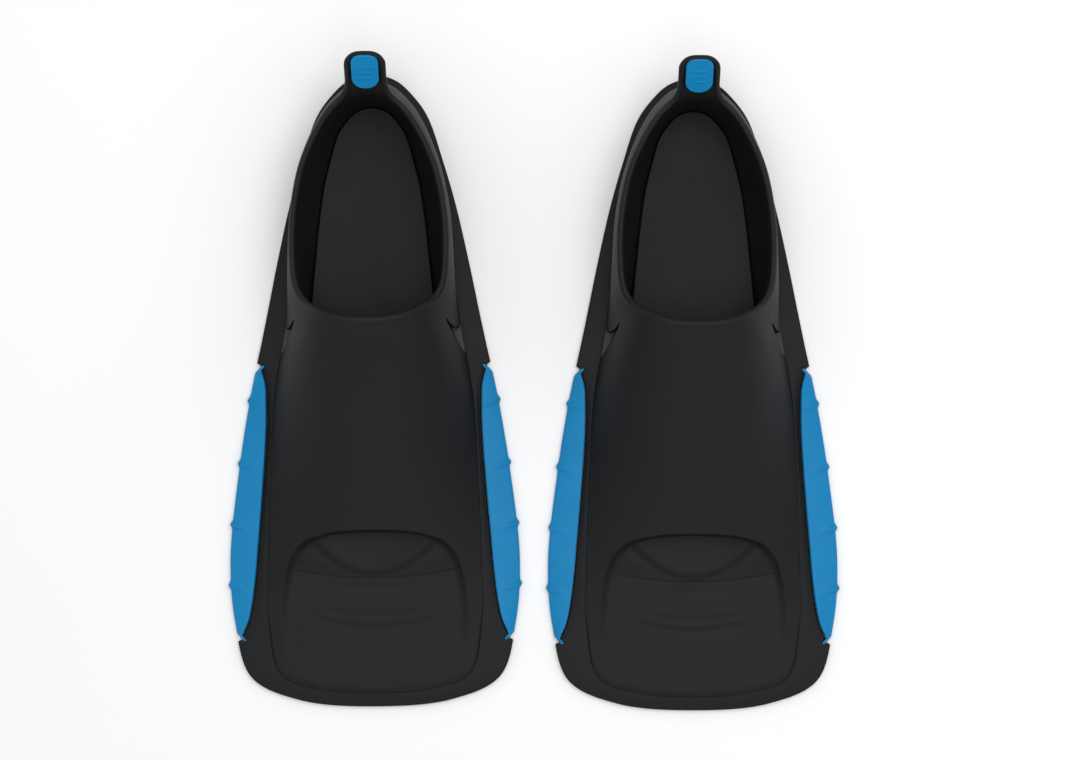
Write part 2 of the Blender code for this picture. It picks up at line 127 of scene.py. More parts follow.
COLUMNS_PER_SEGMENT = (20, 20, 8, 14, 12, 14, 12, 40, 26, 30, 34, 28, 28, 22, 22)

# The hood's height on the axis as (share of the length along, height), and how full its section is
HOOD_LINE = (
    (0.0, 0.0070), (0.022, 0.0071), (0.060, 0.0077), (0.100, 0.0099), (0.150, 0.0140),
    (0.230, 0.0210), (0.280, 0.0262), (0.395, 0.0408), (0.500, 0.0555), (0.600, 0.0740), (0.700, 0.0880),
)
TOES_END = 0.38
INSTEP_START = 0.60
HOOD_POWER_INSTEP = 3.2
HOOD_POWER_TOE = 2.3
HOOD_CURVE_INSTEP = 0.75
HOOD_CURVE_TOE = 1.10

# The window: its outline, a line that it lies wholly in front of, and the width of its wall at the
# top and at the sides
WINDOW = (
    (0.0, 0.2796), (0.210, 0.2778), (0.360, 0.2716), (0.478, 0.2610), (0.562, 0.2385),
    (0.612, 0.2050), (0.636, 0.1650), (0.640, 0.1300), (0.628, 0.0950), (0.575, 0.0610),
    (0.410, 0.0450), (0.0, 0.0390),
)
WINDOW_NEAR = -0.080
WINDOW_STEPS = 10
WALL_AT_TOP = 0.0026
WALL_AT_SIDE = 0.0056
WALL_WIDENS_FROM = 0.026
WALL_WIDENS_OVER = 0.020
WALL_CURVE = 2.2

# The lens-shaped ramp under the arch, and the hollows beside it
LENS_FOOT = -0.1117
LENS_BEND = 0.0192
LENS_HALF_WIDTH = 0.035
CREST_HEIGHT = 0.0090
CREST_RISE = 0.0030
LENS_DIP = 0.0006
LENS_DIP_LENGTH = 0.0110
LENS_EDGE = 0.0060
LENS_EDGE_SHIFT = 0.75
HOLLOW_RISE = 0.0026
HOLLOW_LENGTH = 0.020
HOLLOW_POWER = 1.3
HOLLOW_SIDE_RISE = 0.0006
HOLLOW_SIDE = 0.018

# Lines across the window's floor: place on the axis, bend and the half-width it is told at, depth,
# half-width of the line, and how far across it starts and ends to fade
SEAM = (-0.1167, 0.0049, 0.046, 0.00045, 0.00050, 0.046, 0.052)
FLOOR_LINES = (
    SEAM,
    (-0.1227, 0.0030, 0.040, 0.00050, 0.0030, 0.010, 0.036),
    (-0.1393, 0.0045, 0.038, 0.00048, 0.0016, 0.020, 0.040),
    (-0.1468, 0.0068, 0.038, 0.00080, 0.0017, 0.026, 0.045),
)

# The rolled lip round the opening, and the rows on it, on the bead above it and inside the cavity
LIP_OUT = 0.0003
LIP_WIDTH = 0.0028
LIP_STEP = 0.0009
LIP_ZONE = 0.0050
LIP_ROWS = 7
BEAD_ROWS = 7
INNER_ROWS = 22
INNER_ROWS_POWER = 1.5

# How the rows of the outer face follow the window: the half-width of the rim whose columns cross
# it, the least shares of the way up at its seam and from there to its arch, and the rows in each part
ARCH_RIM_REACH = 0.030
SEAM_SHARE_LEAST = 0.10
SEAM_TO_ARCH = 0.05
PATH_STEPS = 800
SMOOTHING_REACH = 12
PANEL_ROWS = 48
RAMP_ROWS = 30
HOOD_ROWS = 28

# Heel tab
TAB_LEAN = math.radians(47)
TAB_LENGTH = 0.0360
TAB_HALF_WIDTH = 0.0123
TAB_THICKNESS = 0.0045
TAB_CORNER = 0.0088
TAB_ARCH = 0.0010
TAB_ROOT_IN = 0.0026
TAB_ROOT_DOWN = 0.0020
TAB_FLARE_FROM = 0.0165
TAB_FLARE_HANDLES = (0.0100, 0.0065)
TAB_STATIONS = 2
TAB_BACK_BEND = 0.0060
TAB_FRONT_BEND = 0.0075

# Badge, its recess and its three grip bars
BADGE_HALF_WIDTH = 0.0080
BADGE_FOOT = 0.0098
BADGE_HEAD = 0.0349
BADGE_CORNER = 0.0056
BADGE_FOOT_CORNER = 0.0076
BADGE_LOW = 0.0036
BADGE_HIGH = 0.0049
BADGE_ROUND = 0.0005
RECESS_DEPTH = 0.0012
RECESS_EDGE = 0.0005
BAR_HALF_LENGTH = 0.0042
BAR_HALF_WIDTH = 0.0009
BAR_SPACING = 0.0040
BAR_HEIGHT = 0.0005

# Drain notch on each side of the instep: its outline, the plane it is cut down to, how wide the edge
# of the cut is, and how far up its wall the paler colour goes, which on that wall is painted highlight
NOTCH = (
    (0.516, 0.603), (0.543, 0.587), (0.570, 0.573), (0.601, 0.5606), (0.626, 0.553), (0.650, 0.553),
    (0.650, 0.606), (0.603, 0.606), (0.595, 0.593), (0.570, 0.5905), (0.545, 0.594),
)
NOTCH_FOOT = 0.0073
NOTCH_SLOPE = 0.45
NOTCH_EDGE = 0.0006
NOTCH_WALL = 0.0020
NOTCH_MARGIN = 0.01

# Side rails
RAIL_INNER = (
    (0.785, 0.534), (0.766, 0.5215), (0.746, 0.503), (0.742, 0.484), (0.742, 0.447), (0.752, 0.400),
    (0.767, 0.353), (0.783, 0.307), (0.801, 0.260), (0.819, 0.213), (0.835, 0.182), (0.852, 0.157),
    (0.875, 0.135), (0.917, 0.112), (0.925, 0.1045),
)
RAIL_BOTTOM = 0.0008
RAIL_TOP = 0.0070
RAIL_ROUND = 0.0012
RAIL_LEAST_WIDTH = 2.2 * RAIL_ROUND
RAIL_CROWN = 0.0004
RAIL_CROWN_POWER = 0.8
RAIL_TILT = 0.0034
RAIL_END_INSET = 0.0026
RAIL_END_LENGTH = 0.0050
RAIL_STATIONS = 260
BUMP_HEIGHT = 0.0014
BUMP_HALF_LENGTH = 0.0019
BUMPS_ALONG = (0.480, 0.3815, 0.2864, 0.1913)
RIDGE_HEIGHT = 0.0020
RIDGE_LENGTH = 0.0130
RIDGE_SLOPE = 0.30
RIDGE_HALF_WIDTH = 0.0017

# Darkest and lightest colour of each rubber
BLACK = ((0.0068, 0.0073, 0.0083), (0.0082, 0.0088, 0.0098))
BLUE = ((0.0056, 0.198, 0.440), (0.0076, 0.213, 0.464))
BRIGHT_BLUE = ((0.0030, 0.205, 0.460), (0.0050, 0.220, 0.485))
# Paler colour of the drain notches' facets, which on the walls at the cut is a painted highlight
NOTCH_PALE_AND_HIGHLIGHT = ((0.044, 0.0405, 0.041), (0.056, 0.052, 0.053))

# The floor's half size, and its darkest and lightest colour
FLOOR_HALF = 3.0
PAPER = ((0.93, 0.93, 0.93), (0.95, 0.95, 0.95))

# Each lamp's name, place, size in metres and power in watts, the strength of the light all round,
# and the camera's place and lens in millimetres
LAMPS = (("overhead_softbox", (0.1, 0.15, 1.9), 1.3, 15), ("key_softbox", (0.6, 0.6, 1.6), 1.0, 6))
DAYLIGHT = 0.64
CAMERA_SPOT = (0.001, 0.0047, 1.75)
CAMERA_LENS = 96.4


def place(pairs):
    """Points on the floor from shares of half the width and of the length."""
    shares = np.array(pairs, float)
    return np.column_stack((shares[:, 0] * BLADE_WIDTH / 2, (shares[:, 1] - 0.5) * FIN_LENGTH))


def mirrored(half):
    """A closed loop from half of one, which starts and ends on the axis."""
    return np.vstack((half, half[-2:0:-1] * (-1, 1)))


def eased(share):
    share = np.clip(share, 0.0, 1.0)
    return share * share * (3 - 2 * share)


def unit(vectors):
    return vectors / np.maximum(np.linalg.norm(vectors, axis=-1, keepdims=True), 1e-12)


def lerp(first, last, share):
    return first + (last - first) * share


def hermite(a, b, leave, reach, share):
    s2 = share * share
    s3 = s2 * share
    return (
        (2 * s3 - 3 * s2 + 1) * a
        + (s3 - 2 * s2 + share) * leave
        + (3 * s2 - 2 * s3) * b
        + (s3 - s2) * reach
    )


def smooth_loop(pairs, segments, shares):
    """The smooth closed curve through an outline's stations, read at each column."""
    points = mirrored(place(pairs))
    a, b, c, d = (points[(segments + step) % len(points)] for step in (-1, 0, 1, 2))
    before, here, after = (
        np.sqrt(np.linalg.norm(q - p, axis=1, keepdims=True) + 1e-9)
        for p, q in ((a, b), (b, c), (c, d))
    )
    leave = (c - b) + here * ((b - a) / before - (c - a) / (before + here))
    reach = (c - b) + here * ((d - c) / after - (d - b) / (here + after))
    return hermite(b, c, leave, reach, shares[:, None])


def smooth_table(table, values):
    """Reads a table of (place, value) pairs along a smooth curve."""
    places, heights = np.array(table, float).T
    slopes = np.gradient(heights, places)
    index = np.clip(np.searchsorted(places, values) - 1, 0, len(places) - 2)
    span = places[index + 1] - places[index]
    share = np.clip((values - places[index]) / span, 0, 1)
    return hermite(
        heights[index], heights[index + 1], slopes[index] * span, slopes[index + 1] * span, share
    )


def column_places():
    """Where the columns stand round the fin: arrays of segments and shares."""
    counts = COLUMNS_PER_SEGMENT + COLUMNS_PER_SEGMENT[::-1]
    segments = np.concatenate([np.full(count, index) for index, count in enumerate(counts)])
    shares = np.concatenate([np.arange(count) / count for count in counts])
    return segments, shares


def at_columns(values, segments, shares):
    """Numbers told at the stations of one half, read smoothly at each column."""
    whole = np.array(values + values[-2:0:-1], float)
    a, b, c, d = (whole[(segments + step) % len(whole)] for step in (-1, 0, 1, 2))
    return hermite(b, c, (c - a) / 2, (d - b) / 2, shares)


def outward(loop):
    """Unit vectors out of a closed loop that runs clockwise from above."""
    run = np.roll(loop, -1, axis=0) - np.roll(loop, 1, axis=0)
    return unit(np.column_stack((-run[:, 1], run[:, 0])))


def grown(loop, distance):
    return loop + outward(loop) * distance


def at_height(loop, height):
    return np.column_stack((loop, np.broadcast_to(height, len(loop))))


def dense_half(pairs):
    """Many points along half of an outline, as (half-widths, places along), by rising place."""
    stations = len(pairs) - 1
    segments = np.repeat(np.arange(stations), OUTLINE_STEPS)
    shares = np.tile(np.arange(OUTLINE_STEPS) / OUTLINE_STEPS, stations)
    loop = np.vstack((smooth_loop(pairs, segments, shares), place(pairs[-1:])))
    order = np.argsort(loop[:, 1])
    return loop[order, 0], loop[order, 1]


CREASE_EDGE = dense_half(CREASE)
FLANGE_EDGE = dense_half(FLANGE)


def edge_half_width(edge, y):
    return np.interp(y, edge[1], edge[0])


def rail_inner(y):
    points = place(RAIL_INNER)[::-1]
    return smooth_table(np.column_stack((points[:, 1], points[:, 0])), y)


def base_height(x, y):
    """Height of the hood over points on the floor, with no window in it."""
    along = y / FIN_LENGTH + 0.5
    half = np.maximum(edge_half_width(CREASE_EDGE, y), 0.001)
    side = np.minimum(np.abs(x) / half, 1.0)
    instep = eased((along - TOES_END) / (INSTEP_START - TOES_END))
    power = lerp(HOOD_POWER_TOE, HOOD_POWER_INSTEP, instep)
    curve = lerp(HOOD_CURVE_TOE, HOOD_CURVE_INSTEP, instep)
    rise = smooth_table(HOOD_LINE, along) - CREASE_HEIGHT
    return CREASE_HEIGHT + np.maximum(rise, 0) * (1 - side**power) ** curve


def inside_distance(x, y, outline):
    """How far each point lies inside a closed outline, negative outside it."""
    points = np.stack((x.ravel(), y.ravel()), axis=1)
    nearest = np.full(len(points), np.inf)
    winding = np.zeros(len(points), int)
    for start, end in zip(outline, np.roll(outline, -1, axis=0)):
        run = end - start
        share = np.clip((points - start) @ run / (run @ run), 0, 1)
        nearest = np.minimum(nearest, np.linalg.norm(points - start - share[:, None] * run, axis=1))
        crosses = (start[1] > points[:, 1]) != (end[1] > points[:, 1])
        if run[1]:
            at = start[0] + (points[:, 1] - start[1]) / run[1] * run[0]
            winding += crosses & (points[:, 0] < at)
    return np.where(winding % 2 == 1, nearest, -nearest).reshape(x.shape)


def window_outline():
    """The window's closed outline on the floor."""
    segments = np.repeat(np.arange(2 * len(WINDOW) - 2), WINDOW_STEPS)
    shares = np.tile(np.arange(WINDOW_STEPS) / WINDOW_STEPS, 2 * len(WINDOW) - 2)
    return smooth_loop(WINDOW, segments, shares)


def inside_window(x, y):
    """How far each point lies inside the window's outline, negative outside it."""
    inside = np.full(x.shape, -1.0)
    near = y < WINDOW_NEAR
    inside[near] = inside_distance(x[near], y[near], window_outline())
    return inside


def floor_line(x, y, middle, bend, bend_at, depth, half_width, fade_from, fade_to):
    """How deep a line across the window's floor is at each point."""
    line = middle + bend * (x / bend_at) ** 2
    fade = 1 - eased((np.abs(x) - fade_from) / (fade_to - fade_from))
    return depth * fade * np.exp(-(((y - line) / half_width) ** 2))


def window_floor(x, y):
    """The panel and, towards the arch, the ramp with its lens and the hollows beside it."""
    seam = SEAM[0] + SEAM[1] * (x / SEAM[2]) ** 2
    up = np.clip((y - seam) / HOLLOW_LENGTH, 0, 1)
    aside = np.clip((np.abs(x) - LENS_HALF_WIDTH * up) / HOLLOW_SIDE, 0, 1)
    hollow = PANEL_HEIGHT + HOLLOW_RISE * up**HOLLOW_POWER
    hollow = hollow + HOLLOW_SIDE_RISE * aside**2 * eased(up * 2)
    edge = LENS_FOOT + LENS_BEND * (x / LENS_HALF_WIDTH) ** 2
    tilt = 2 * LENS_BEND * x / LENS_HALF_WIDTH**2
    inside = (y - edge) / np.sqrt(1 + tilt**2)
    crest = CREST_HEIGHT + CREST_RISE * (x / LENS_HALF_WIDTH) ** 2
    lens = crest - LENS_DIP * eased(inside / LENS_DIP_LENGTH)
    floor = lerp(hollow, lens, eased(inside / LENS_EDGE + LENS_EDGE_SHIFT))
    for line in FLOOR_LINES:
        floor = floor - floor_line(x, y, *line)
    return floor


def hood_height(x, y):
    """Height of the hood's outer surface, with the window sunk into it."""
    height = base_height(x, y)
    inside = inside_window(x, y)
    widening = eased((np.abs(x) - WALL_WIDENS_FROM) / WALL_WIDENS_OVER)
    width = lerp(WALL_AT_TOP, WALL_AT_SIDE, widening)
    down = 1 - (1 - np.clip(inside / width, 0, 1)) ** WALL_CURVE
    return lerp(height, np.minimum(window_floor(x, y), height), down)


def mesh_from_grid(name, grid, closed=False):
    """A mesh of quads on rows of points that run round. Its ends are capped, or meet if closed."""
    rows, columns = grid.shape[:2]
    index = np.arange(rows * columns).reshape(rows, columns)
    low = index if closed else index[:-1]
    high = np.roll(index, -1, axis=0) if closed else index[1:]
    quads = np.stack((low, high, np.roll(high, -1, axis=1), np.roll(low, -1, axis=1)), axis=-1)
    faces = quads.reshape(-1, 4).tolist()
    if not closed:
        faces.append(index[0].tolist())
        faces.append(index[-1][::-1].tolist())
    mesh = bpy.data.meshes.new(name)
    mesh.from_pydata(grid.reshape(-1, 3).tolist(), [], faces)
    mesh.validate()
    return mesh


def rounding(radius, steps, start, end):
    """(inset, drop) pairs round a quarter circle, from one angle in degrees to another."""
    turns = np.radians(np.linspace(start, end, steps))
    return [(radius * (1 - math.cos(turn)), radius * (1 - math.sin(turn))) for turn in turns]


class Loops:
    """The outlines of one fin, all read at the same columns."""

    def __init__(self):
        self.segments, self.shares = column_places()
        read = (self.segments, self.shares)
        self.flange = smooth_loop(FLANGE, *read)
        self.crease = smooth_loop(CREASE, *read)
        self.cavity = smooth_loop(CAVITY, *read)
        self.rim = smooth_loop(RIM, *read)
        self.hood = np.clip(at_columns(HOOD_SHARE, *read), 0, 1)
        self.rim_height = at_columns(RIM_HEIGHT, *read)


def blade_outline(loops):
    """The flange's edge, which steps in to the rails' inner edges along the rails."""
    outline = loops.flange.copy()
    ends = place((RAIL_INNER[0], RAIL_INNER[-1]))[:, 1]
    beside = (outline[:, 1] < ends[0] + GAP) & (outline[:, 1] > ends[1] - GAP)
    y = np.clip(outline[beside, 1], ends[1], ends[0])
    inner = np.minimum(rail_inner(y) - GAP, np.abs(outline[beside, 0]))
    outline[beside, 0] = np.sign(outline[beside, 0]) * inner
    return outline


def footbed_inset(cavity):
    """How far the footbed's edge stands in from the cavity's foot."""
    along = cavity[:, 1] / FIN_LENGTH + 0.5
    arch = eased((along - ARCH_FROM) / ARCH_FADE)
    heel = eased((along - HEEL_FROM) / HEEL_FADE)
    return (FOOTBED_INSET + FOOTBED_ARCH_INSET * arch + FOOTBED_HEEL_INSET * heel)[:, None]


def footbed_rows(loops):
    """Rows up from the cavity's foot, over the footbed's shoulder and in across its dished top."""
    cavity = grown(loops.cavity, -GAP)
    inset = footbed_inset(cavity)
    rows = []
    for share in np.arange(FOOTBED_ROWS + 1) / FOOTBED_ROWS:
        height = lerp(GUTTER_HEIGHT, FOOTBED_HEIGHT, eased(share**FOOTBED_SHOULDER))
        rows.append(at_height(grown(cavity, -inset * share), height))
    edge = grown(cavity, -inset)
    rows += [at_height(edge * (share, 1), FOOTBED_HEIGHT) for share in (0.95, 0.8, 0.6, 0.4, 0.2)]
    rows = np.array(rows)
    side = np.minimum(np.abs(rows[..., 0]) / DISH_HALF_WIDTH, 1)
    rows[..., 2] -= DISH_DEPTH * (1 - side**2)
    return rows


def sole_grid(loops):
    """Sole plate with its flange, the seat under the upper, and the footbed."""
    edge = blade_outline(loops)
    rows = [at_height(grown(edge, -inset), drop) for inset, drop in rounding(FLANGE_ROUND, 5, 90, 0)]
    for inset, drop in rounding(FLANGE_ROUND, 5, 0, 90):
        rows.append(at_height(grown(edge, -inset), FLANGE_EDGE_TOP - drop))
    top_edge = grown(edge, -FLANGE_ROUND)
    seat = grown(loops.crease, GAP)
    for share in (0.2, 0.5, 0.8, 1.0):
        height = lerp(FLANGE_EDGE_TOP, FLANGE_TOP, share * (2 - share))
        rows.append(at_height(lerp(top_edge, seat, share), height))
    rows += [at_height(loop, UPPER_BOTTOM - GAP) for loop in (seat, grown(loops.cavity, -GAP))]
    return np.concatenate((rows, footbed_rows(loops)))


def tab_axes():
    """The tab's root, and its directions: up the slope, and out of its upper face."""
    slope = np.array((0, math.cos(TAB_LEAN), math.sin(TAB_LEAN)))
    face = np.array((0, -math.sin(TAB_LEAN), math.cos(TAB_LEAN)))
    heel = place(RIM[:1])[0]
    root = np.array((0, heel[1] - TAB_ROOT_IN, RIM_HEIGHT[0] - TAB_ROOT_DOWN))
    return root, slope, face


def on_tab(across, up, out):
    """Points from the tab's own coordinates."""
    root, slope, face = tab_axes()
    points = root + np.multiply.outer(np.asarray(up, float), slope)
    points = points + np.multiply.outer(np.asarray(out, float), face)
    points[..., 0] += across
    return points


def tab_edge(end, end_run, shares):
    """The middle of the tab's edge from the top of its axis, round its corner and down its flare."""
    radius = TAB_THICKNESS / 2
    half = TAB_HALF_WIDTH - radius
    head = TAB_LENGTH - radius
    corner = TAB_CORNER - radius
    turns = np.linspace(math.pi / 2, 0, 12)
    across = np.concatenate(([0, (half - corner) / 2], half - corner + corner * np.cos(turns)))
    up = np.concatenate(([head, head], head - corner + corner * np.sin(turns)))
    up = up - TAB_ARCH * (across / half) ** 2
    side = np.linspace(up[-1], TAB_FLARE_FROM, 10)[1:]
    across = np.concatenate((across, np.full(len(side), half)))
    up = np.concatenate((up, side))
    plain = on_tab(across, up, np.full(len(up), radius))
    slope = tab_axes()[1]
    a = plain[-1]
    b = a - slope * TAB_FLARE_HANDLES[0]
    c = end - end_run * TAB_FLARE_HANDLES[1]
    t = np.linspace(0, 1, 24)[1:, None]
    flare = (1 - t) ** 3 * a + 3 * t * (1 - t) ** 2 * b + 3 * t * t * (1 - t) * c + t**3 * end
    path = np.vstack((plain, flare))
    along = np.concatenate(([0], np.cumsum(np.linalg.norm(np.diff(path, axis=0), axis=1))))
    flare_from = along[len(plain) - 1] / along[-1]
    wanted = shares * along[-1]
    points = np.column_stack([np.interp(wanted, along, path[:, axis]) for axis in range(3)])
    return points, flare_from


def pocket_wall(loops, top, shares):
    """The upper's outer face at shares (rows, columns) of the way from its crease to its rim."""
    out = outward(loops.crease)
    lift = shares[..., None]
    spot = lerp(loops.crease, top, lift)
    spot = spot + out * WALL_BULGE * np.sin(np.pi * lift) * (1 - loops.hood[:, None])
    wall = lerp(CREASE_HEIGHT, loops.rim_height, shares)
    hood = hood_height(spot[..., 0], spot[..., 1])
    height = lerp(wall, hood, loops.hood)
    inward = shares * np.linalg.norm(top - loops.crease, axis=1)
    near = 1 - np.clip(inward / SHOULDER_WIDTH, 0, 1)
    along = spot[..., 1] / FIN_LENGTH + 0.5
    flat = loops.hood * eased((SHOULDER_END - along) / SHOULDER_FADE)
    height = height - SHOULDER_DROP * flat * (1 - np.sqrt(1 - near**2))
    return np.concatenate((spot, height[..., None]), axis=-1)


def bent_path(wall, corner, tip, shares, bend):
    """Up a wall to its corner and on to a tip, with the corner rounded. wall takes shares."""
    foot = wall(np.zeros_like(shares[:1]))[0]
    up = np.linalg.norm(corner - foot, axis=1)
    on = np.linalg.norm(tip - corner, axis=1)
    distance = shares * (up + on)
    reach = np.maximum(on, 1e-9)
    beyond = np.clip((distance - up) / reach, 0, 1)[..., None]
    rising = wall(np.clip(distance / up, 0, 1))
    points = np.where((distance <= up)[..., None], rising, lerp(corner, tip, beyond))
    bend = np.minimum(bend, on)
    before = wall(np.broadcast_to((up - bend) / up, shares[:1].shape))[0]
    after = lerp(corner, tip, (bend / reach)[:, None])
    t = ((distance - up + bend) / np.maximum(2 * bend, 1e-9))[..., None]
    curve = (1 - t) ** 2 * before + 2 * t * (1 - t) * corner + t**2 * after
    bending = (np.abs(distance - up) < bend)[..., None]
    return np.where(bending, curve, points)


def window_shares(loops, top):
    """How far up each column its path crosses the window's seam and its arch."""
    shares = np.linspace(0, 1, PATH_STEPS)
    paths = lerp(loops.crease, top, shares[:, None, None])
    x, y = paths[..., 0], paths[..., 1]
    inside = inside_window(x, y)
    crosses = (inside > 0).any(axis=0) & (np.abs(x[-1]) < ARCH_RIM_REACH)
    last = len(shares) - 1 - np.argmax(inside[::-1] > 0, axis=0)
    low = inside[last, np.arange(len(last))]
    high = inside[np.minimum(last + 1, len(shares) - 1), np.arange(len(last))]
    arch = shares[last] + low / (low - high + 1e-12) * shares[1]
    under = y < SEAM[0] + SEAM[1] * (x / SEAM[2]) ** 2
    seam = shares[np.maximum(under.sum(axis=0) - 1, 0)]
    spots = np.arange(len(crosses))
    wide = crosses & (seam > SEAM_SHARE_LEAST) & (seam < arch - SEAM_TO_ARCH)
    seam = smoothed(np.interp(spots, spots[wide], seam[wide]), ~wide)
    arch = smoothed(np.interp(spots, spots[crosses], arch[crosses]), ~crosses)
    return np.minimum(seam, arch - SEAM_TO_ARCH), arch


def smoothed(values, where):
    """The values with a running mean where asked, and unchanged elsewhere."""
    kernel = np.ones(2 * SMOOTHING_REACH + 1) / (2 * SMOOTHING_REACH + 1)
    mean = np.convolve(np.pad(values, SMOOTHING_REACH, mode="wrap"), kernel, mode="valid")
    return np.where(where, mean, values)


def bunched(rows, at_start, at_end):
    """Shares from 0 up to 1 for some rows, more or less closer together at either end."""
    share = np.arange(rows) / rows
    if at_start and at_end:
        curve = (1 - np.cos(np.pi * share)) / 2
    elif at_start:
        curve = 1 - np.cos(np.pi / 2 * share)
    else:
        curve = np.sin(np.pi / 2 * share)
    return lerp(share, curve, max(at_start, at_end))[:, None]


def cut_notches(points):
    """Cuts the drain notches down to a plane that slopes out to the crease."""
    x, y, z = np.moveaxis(points, -1, 0)
    low, high = np.array(NOTCH)[:, 1].min(), np.array(NOTCH)[:, 1].max()
    along = y / FIN_LENGTH + 0.5
    near = (along > low - NOTCH_MARGIN) & (along < high + NOTCH_MARGIN)
    inside = inside_distance(np.abs(x[near]), y[near], place(NOTCH))
    facet = NOTCH_FOOT + NOTCH_SLOPE * (edge_half_width(CREASE_EDGE, y[near]) - np.abs(x[near]))
    cut = eased(inside / NOTCH_EDGE + 0.5)
    z[near] = lerp(z[near], np.minimum(z[near], facet), cut)


def mark_notches(mesh):
    """Gives the faces in the drain notches the paler second material; on the cut's wall it is painted
    highlight.
    """
    centres = np.array([face.center[:] for face in mesh.polygons])
    inside = inside_distance(np.abs(centres[:, 0]), centres[:, 1], place(NOTCH))
    reach = edge_half_width(CREASE_EDGE, centres[:, 1]) - np.abs(centres[:, 0])
    low = np.abs(centres[:, 2] - NOTCH_FOOT - NOTCH_SLOPE * reach) < NOTCH_WALL
    mesh.polygons.foreach_set("material_index", ((inside > -NOTCH_EDGE / 2) & low).astype(np.int32))


def badge_outline(grow, steps=10):
    """The badge's outline in the tab's own coordinates, clockwise, grown by some distance."""
    half = BADGE_HALF_WIDTH + grow
    right = []
    ends = (
        (BADGE_HEAD + grow, BADGE_CORNER + grow, 90, 0),
        (BADGE_FOOT - grow, BADGE_FOOT_CORNER + grow, 0, -90),
    )
    for end, corner, start, stop in ends:
        middle = end - corner if start else end + corner
        for turn in np.radians(np.linspace(start, stop, steps)):
            right.append((half - corner + corner * math.cos(turn), middle + corner * math.sin(turn)))
    right = np.array(right)
    return np.vstack((right, right[::-1] * (-1, 1)))


def sink_recess(points):
    """Sinks the badge's recess into the tab's upper face."""
    root, slope, face = tab_axes()
    local = points - root
    up = local @ slope
    out = local @ face
    inside = inside_distance(points[..., 0], up, badge_outline(GAP + RECESS_EDGE))
    front = (out > TAB_THICKNESS * 0.6) & (up > 0)
    depth = RECESS_DEPTH * eased(inside / (2 * RECESS_EDGE) + 0.5) * front
    return points - depth[..., None] * face


class Rim:
    """The rounded edge of the opening, which leaves the rim to run round the heel tab."""

    def __init__(self, loops):
        out = np.column_stack((outward(loops.rim), np.zeros(len(loops.rim))))
        lift = (loops.hood * math.pi / 2)[:, None]
        self.side = out * np.cos(lift) + np.array((0, 0, 1)) * np.sin(lift)
        self.radius = np.full((len(loops.rim), 1), WALL / 2)
        self.top = loops.rim + out[:, :2] * self.radius * np.cos(lift)
        self.corner = pocket_wall(loops, self.top, np.ones((1, len(self.top))))[0]
        self.middle = self.corner - self.radius * self.side
        self.inner_corner = self.middle - self.radius * self.side
        self.run_round_tab(loops)
        run = unit(np.roll(self.middle, -1, axis=0) - np.roll(self.middle, 1, axis=0))
        self.side = unit(self.side - run * np.sum(self.side * run, axis=1, keepdims=True))
        self.crest = np.cross(run, self.side)
        self.outer_tip = self.middle + self.radius * self.side
        self.inner_tip = self.middle - self.radius * self.side

    def run_round_tab(self, loops):
        """Moves the middle line out along the tab's edge, in the columns at the heel."""
        count = len(mirrored(place(RIM)))
        station = loops.segments + loops.shares
        self.from_heel = np.minimum(station, count - station) / TAB_STATIONS
        self.tab = self.from_heel < 1
        last = int(sum(COLUMNS_PER_SEGMENT[:TAB_STATIONS]))
        run = unit(self.middle[last + 1] - self.middle[last - 1])
        edge, flare_from = tab_edge(self.middle[last], run, self.from_heel[self.tab])
        edge[:, 0] *= np.where(station[self.tab] < TAB_STATIONS, 1, -1)
        to_wall = eased((self.from_heel[self.tab] - flare_from) / (1 - flare_from))[:, None]
        back = -tab_axes()[2]
        self.middle[self.tab] = edge
        self.side[self.tab] = unit(lerp(back, self.side[self.tab], to_wall))
        self.radius[self.tab] = lerp(TAB_THICKNESS / 2, self.radius[self.tab], to_wall)


def outer_rows(loops, rim):
    """Rows up the outer face: the window's panel, its ramp, the hood or wall, and the rolled lip."""
    foot = at_height(loops.crease, CREASE_HEIGHT)
    length = np.linalg.norm(rim.corner - foot, axis=1)
    length = length + np.linalg.norm(rim.outer_tip - rim.corner, axis=1)
    seam, arch = window_shares(loops, rim.top)
    lip = 1 - np.linspace(LIP_ZONE, 0, LIP_ROWS + 1)[:, None] / length
    shares = np.vstack((
        seam * bunched(PANEL_ROWS, 0.0, 0.5),
        lerp(seam, arch, bunched(RAMP_ROWS, 0.8, 0.8)),
        lerp(arch, lip[0], bunched(HOOD_ROWS, 0.7, 0.0)),
        lip,
    ))

    def wall(share):
        return pocket_wall(loops, rim.top, share)

    rows = bent_path(wall, rim.corner, rim.outer_tip, shares, TAB_BACK_BEND)
    from_rim = (1 - shares) * length
    raised = eased((LIP_WIDTH + LIP_STEP - from_rim) / LIP_STEP) * eased(from_rim / LIP_STEP)
    off_tab = eased(rim.from_heel * 3 - 2)
    rows = rows + (LIP_OUT * raised * off_tab)[..., None] * rim.side
    cut_notches(rows)
    return rows


def inner_wall(loops, rim, shares):
    """Points of the cavity's wall and roof at shares (rows, columns) of the way up to the rim."""
    reach = footbed_inset(loops.cavity) * WALL_FOOT_SHARE * (1 - loops.hood[:, None])
    foot_line = grown(loops.cavity, -reach)
    corner = rim.inner_corner
    plain = lerp(loops.cavity, corner[:, :2], shares[..., None])
    flared = lerp(foot_line, corner[:, :2], 1 - (1 - shares[..., None]) ** WALL_FLARE)
    spot = lerp(flared, plain, loops.hood[:, None])
    roof = base_height(spot[..., 0], spot[..., 1]) - WALL
    under = lerp(TOE_WALL_TOP, roof, np.sqrt(1 - (1 - shares) ** ROOF_FULLNESS))
    under = lerp(under, corner[:, 2], eased((shares - ROOF_END) / (1 - ROOF_END)))
    wall = lerp(WALL_FOOT_HEIGHT, corner[:, 2], shares)
    return np.concatenate((spot, lerp(wall, under, loops.hood)[..., None]), axis=-1)


